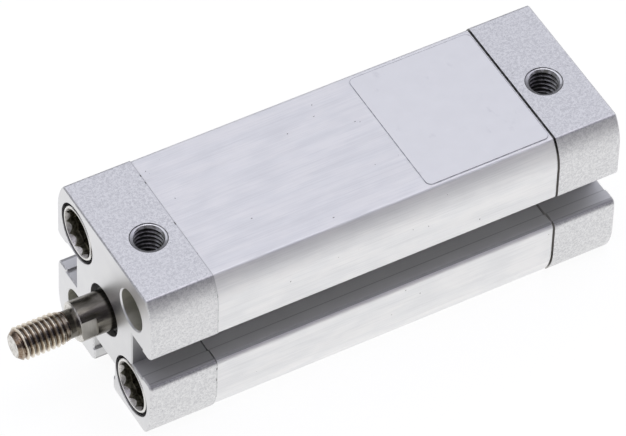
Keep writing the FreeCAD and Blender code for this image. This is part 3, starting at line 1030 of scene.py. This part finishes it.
def socket_tool(notch_radius, point_radius, depth):
    """The cutter of the toothed socket: teeth that point inwards as arcs, with a notch between."""
    step = 360 / socket_teeth
    half_step = math.radians(step / 2)
    chord_half = notch_radius * math.sin(half_step)
    chord_place = notch_radius * math.cos(half_step)
    rise = chord_place - point_radius
    tooth_radius = (chord_half ** 2 + rise ** 2) / (2 * rise)
    tooth_centre = point_radius + tooth_radius
    sweep = math.degrees(2 * math.asin(chord_half / tooth_radius))
    drawn = Outline("socket_tool", (overrun, -chord_half, chord_place))
    for tooth in range(socket_teeth):
        lean = math.radians(step * tooth)
        middle = (overrun, tooth_centre * math.sin(lean), tooth_centre * math.cos(lean))
        drawn.arc(middle, sweep, tooth_steps)
    weld_all()
    bpy.ops.mesh.edge_face_add()
    push(-overrun - depth)
    point_outwards()
    out_of_edit()
    return drawn.piece


def flange_screw(name):
    """One screw along the rod's axis with its face at the origin and its shank towards -X."""
    seat = head_recess - head_seat_depth
    tip = seat - shank_length
    face_chamfer = head_radius - head_face_radius
    profile = [(0, 0), (0, head_face_radius), (-face_chamfer, head_radius), (seat, head_radius)]
    profile += [(seat, shank_radius), (tip + shank_chamfer, shank_radius)]
    profile += [(tip, shank_radius - shank_chamfer), (tip, 0)]
    screw = turned(name, profile)
    screw.data.materials.append(screw_metal)
    lead = [(overrun, 0), (overrun, socket_lead_radius), (0, socket_lead_radius)]
    lead += [(-socket_lead_depth, socket_mouth[1]), (-socket_lead_depth, 0)]
    drill = [(-socket_lead_depth, 0), (-socket_lead_depth, bolt_thread_inner)]
    drill += [(-bolt_thread_depth, bolt_thread_inner), (-bolt_thread_depth - bolt_thread_inner / 2, 0)]
    thread = threaded(
        "bolt_thread", bolt_thread_inner - thread_bite, bolt_thread_outer, bolt_thread_pitch,
        bolt_thread_turns, bolt_thread_steps,
    )
    move(thread, bolt_thread_pitch - socket_base[2] - bolt_thread_turns * bolt_thread_pitch)
    tools = [turned("lead_tool", lead), socket_tool(*socket_mouth), socket_tool(*socket_base)]
    tools += [turned("drill_tool", drill), thread]
    for tool in tools[1:]:
        tool.data.materials.append(socket_metal)
    tools[0].data.materials.append(lead_metal)
    combine(screw, tools, "DIFFERENCE")
    return screw


def copy_of(piece, name):
    """A copy with a mesh of its own."""
    twin = piece.copy()
    twin.data = piece.data.copy()
    twin.name = name
    bpy.context.scene.collection.objects.link(twin)
    return twin


pattern_screw = flange_screw("flange_screw_pattern")
for end, face, flip in (("front", cap_front, 0.0), ("rear", rear_face, math.pi)):
    inset = head_recess if end == "front" else -head_recess
    for height, (y, z) in zip(("upper", "lower"), screw_corners):
        screw = copy_of(pattern_screw, "cap_screw_" + end + "_" + height)
        screw.data.transform(Matrix.Rotation(flip, 4, "Z"))
        move(screw, face - inset, y, z)
        smooth(screw)
        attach(screw, "body")
        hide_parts("flange_screw_" + end + "_" + height)
bpy.data.objects.remove(pattern_screw)


# Piston rod: ground stainless steel with a rolled M5 nose, a short neck behind the thread and two
# spanner flats behind the shoulder. Its far end passes through the piston and takes a screw.
rod_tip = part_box("piston_rod")[1].x / mm
rod_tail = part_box("piston_rod")[0].x / mm
rod_shoulder = 4.8
rod_edge_break = 0.15
rod_neck_length = 1.2
rod_neck_radius = 2.05
rod_neck_cone = 0.2
rod_runout = 1.7
rod_tip_radius = 1.7
rod_tip_taper = 1.0
rod_thread_inner = 2.02
rod_thread_turns = 15
rod_thread_clearance = 0.02
# Radii over which the thread turns from painted shade to painted highlight
thread_shine = (2.05, 2.46)
rod_tail_radius = 2.0
rod_tail_seat = -54.85
flat_across = 5.3
flat_length = 2.4
flat_turn = 12.0


def rod_steel():
    """Ground and polished stainless steel: hair lines round the shank and a faint brown cast."""
    steel = Finish("rod_steel")
    hair = steel.noise(2.5, 0.05, 2.0)
    streak = steel.noise(0.5, 3.0, 3.0, shift=2.0)
    cast = steel.blend(streak.above(0.35, 0.7), (0.14, 0.13, 0.11), (0.26, 0.245, 0.21))
    tone = steel.blend(hair * 0.4, cast, (0.12, 0.11, 0.095))
    return steel.coat(tone, 0.15 + 0.14 * streak, hair, 0.003)


def thread_steel():
    """Rolled thread: crests light as painted highlight, roots dark brown as painted shade."""
    steel = Finish("thread_steel")
    streak = steel.noise(0.25, 0.12, 3.0, shift=4.0)
    crest = 0.7 * steel.radius().above(*thread_shine) + 0.3 * streak.above(0.3, 0.7)
    tone = steel.blend(crest, (0.18, 0.11, 0.065), (0.88, 0.82, 0.70))
    return steel.coat(tone, 0.2 + 0.18 * streak, streak, 0.006)


rod_metal = rod_steel()
thread_metal = thread_steel()
# The spanner flats: greyer than the ground shank, with the cutter's marks across them.
milled_metal = mottled(
    "milled_steel", patches=(1.6, 0.09, 3.0, 0.7), roughness=(0.3, 0.15),
    tones=((0.34, 0.33, 0.30), (0.54, 0.52, 0.48)), relief=0.006,
)
# The turned faces at the shoulder and the tip: bright, with a few dull spots.
faced_metal = mottled(
    "faced_steel", patches=(0.4, 0.4, 3.0, 1.1), edges=(0.35, 0.6),
    tones=((0.50, 0.48, 0.44), (0.80, 0.78, 0.74)), roughness=(0.28, 0.15), relief=0.004,
)

thread_start = rod_shoulder + rod_neck_length
rod_profile = [(rod_tip - rod_tip_taper, 0), (rod_tip - rod_tip_taper, rod_thread_inner)]
rod_profile += [(thread_start + rod_neck_cone, rod_thread_inner), (thread_start, rod_neck_radius)]
rod_profile += [(rod_shoulder, rod_neck_radius)]
rod_profile += [(rod_shoulder, rod_radius - rod_edge_break)]
rod_profile += [(rod_shoulder - rod_edge_break, rod_radius), (rod_tail_seat, rod_radius)]
rod_profile += [(rod_tail_seat, rod_tail_radius), (rod_tail, rod_tail_radius), (rod_tail, 0)]
rod = turned("ground_rod", rod_profile)
rod.data.materials.append(rod_metal)
for side in (0, 180):
    across = 2 * rod_radius
    bpy.ops.object.select_all(action="DESELECT")
    bpy.ops.mesh.primitive_cube_add(size=mm)
    flat_tool = bpy.context.object
    flat_tool.data.transform(Matrix.Diagonal((flat_length + overrun, across, across, 1)))
    middle = rod_shoulder + (overrun - flat_length) / 2
    move(flat_tool, middle, (flat_across + across) / 2, 0)
    flat_tool.data.transform(Matrix.Rotation(math.radians(flat_turn + side), 4, "X"))
    flat_tool.data.materials.append(milled_metal)
    combine(rod, [flat_tool], "DIFFERENCE")

rod_thread = threaded("rod_thread", rod_thread_inner, thread_outer, thread_pitch, rod_thread_turns)
move(rod_thread, rod_shoulder - 2 * thread_pitch)
thread_full = thread_start + rod_runout
clear_radius = thread_outer + rod_thread_clearance
sleeve = [(thread_start, 0), (thread_start, rod_neck_radius), (thread_full, clear_radius)]
sleeve += [(rod_tip - rod_tip_taper, clear_radius), (rod_tip, rod_tip_radius), (rod_tip, 0)]
combine(rod_thread, [turned("thread_sleeve", sleeve)], "INTERSECT")
rod_thread.data.materials.clear()
rod_thread.data.materials.append(thread_metal)
combine(rod, [rod_thread], "UNION")
rod.data.materials.append(faced_metal)


def turned_face(place, normal):
    """The rod's faces at its shoulder and its tip."""
    at_shoulder = rod_shoulder - rod_edge_break - touch < place.x < rod_shoulder + touch
    return normal.x > 0.5 and (place.x > rod_tip - touch or at_shoulder)


machine(rod, faced_metal, turned_face)
smooth(rod)
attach(rod, "rod")
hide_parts("piston_rod")


# Piston: two turned aluminium halves clamped round a ferrite ring magnet, with a guide band and
# two rubber seals in its grooves, a soft buffer in each face, and the screw that holds it all.
def magnet_ferrite():
    """Sintered ferrite: charcoal with a dry, slightly sparkling grain and small chipped spots."""
    ferrite = Finish("magnet_ferrite", 0.2)
    grain = ferrite.noise(0.07, 0.07, 3.0)
    chips = ferrite.noise(0.5, 0.5, 2.0, shift=3.3).above(0.66, 0.72)
    tone = ferrite.blend(grain, (0.022, 0.022, 0.025), (0.07, 0.07, 0.075))
    tone = ferrite.blend(chips, tone, (0.11, 0.105, 0.1))
    return ferrite.coat(tone, 0.55 + 0.2 * grain, grain, 0.008)


# Aluminium turned on a lathe: fine rings round the axis under a bright skin.
piston_metal = mottled(
    "piston_aluminium", patches=(1.6, 1.6, 2.0, 6.1), fine=(3.0, 0.06, 2.0),
    tones=((0.70, 0.71, 0.72), (0.82, 0.83, 0.84)), roughness=(0.22, 0.2), relief=0.004,
)
# The guide band's filled plastic: dark bronze-green with darker flecks of filler.
band_polymer = mottled(
    "band_polymer", metallic=0.0, patches=(0.16, 0.16, 3.0), edges=(0.4, 0.62),
    tones=((0.05, 0.055, 0.04), (0.15, 0.14, 0.10)), roughness=(0.38, 0.16), relief=0.004,
)
# Cream polyurethane with a soft mottle and a faint moulded grain.
buffer_skin = mottled(
    "buffer_polymer", metallic=0.0, patches=(0.9, 0.9, 3.0), skin=(0.1, 0.1, 2.0),
    tones=((0.52, 0.44, 0.26), (0.66, 0.58, 0.38)), roughness=(0.42, 0.16), relief=0.004,
)
dress("piston_magnet", magnet_ferrite())
dress("piston_guide_band", band_polymer)
dress("piston_screw", screw_metal)
for node in ("piston_front_half", "piston_rear_half"):
    dress(node, piston_metal)
for node in ("front_buffer", "rear_buffer"):
    dress(node, buffer_skin)


# Label: a bare film of polyester stuck on the barrel, up to the joint and the near top edge. Its
# corners are rounded, and the cut edge carries a thin grey line of painted shade.
label_low, label_high = (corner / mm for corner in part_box("label"))
label_edge_reach = 0.25
label_joint_reach = 0.55
label_low.x -= label_joint_reach
label_high.y += label_edge_reach
label_corner = 0.9
label_corner_steps = 8
label_edge = 0.07
label_face_area = 100


def label_film():
    """Silver-white film with a faint weave of scuffs and a grey smudge near its far end."""
    film = Finish("label_film", 0.8)
    scuffs = film.noise(0.12, 1.4, 3.0)
    mottle = film.noise(2.2, 2.2, 3.0, shift=1.9)
    smudge = film.noise(3.4, 2.0, 3.0, shift=8.6).above(0.66, 0.8)
    tone = film.blend(mottle, (0.83, 0.83, 0.83), (0.88, 0.88, 0.88))
    tone = film.blend(smudge * 0.3, tone, (0.55, 0.55, 0.58))
    return film.coat(tone, 0.34 + 0.16 * scuffs, scuffs, 0.0015)


def label_rim():
    """The cut edge of the film: grey as painted shade, in darker and paler patches."""
    rim = Finish("label_rim", 0.0)
    edge_shade = rim.noise(0.9, 0.9, 3.0, shift=2.7)
    tone = rim.blend(edge_shade.above(0.35, 0.65), (0.36, 0.36, 0.38), (0.60, 0.60, 0.63))
    return rim.coat(tone, 0.5 + 0.2 * edge_shade)


film_left, film_right = label_low.x + label_corner, label_high.x - label_corner
film_near, film_far = label_high.y - label_corner, label_low.y + label_corner
film_base = label_low.z
# The middle of each corner's arc, and the end of the straight edge that follows it
film_corners = (
    ((film_right, film_near), (label_high.x, film_far)),
    ((film_right, film_far), (film_left, label_low.y)),
    ((film_left, film_far), (label_low.x, film_near)),
    ((film_left, film_near), (film_right, label_high.y)),
)
drawn = Outline("bare_label", (film_right, label_high.y, film_base))
for middle, edge_end in film_corners:
    drawn.arc((*middle, film_base), -90, label_corner_steps, (0, 0, 1))
    drawn.line((*edge_end, film_base))
weld_all()
bpy.ops.mesh.edge_face_add()
rise = (0, 0, (label_high.z - label_low.z) * mm)
bpy.ops.mesh.extrude_region_move(TRANSFORM_OT_translate={"value": rise})
point_outwards()
pick(drawn.piece, "polygons", lambda place, normal: normal.z > 0.9)
bpy.ops.mesh.inset(thickness=label_edge * mm, depth=0, use_even_offset=True)
point_outwards()
out_of_edit()
label = drawn.piece
label.data.materials.append(label_rim())
label.data.materials.append(label_film())
for face in label.data.polygons:
    if face.normal.z > 0.9 and face.area > label_face_area * mm ** 2:
        face.material_index = 1
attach(label, "body")
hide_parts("label")
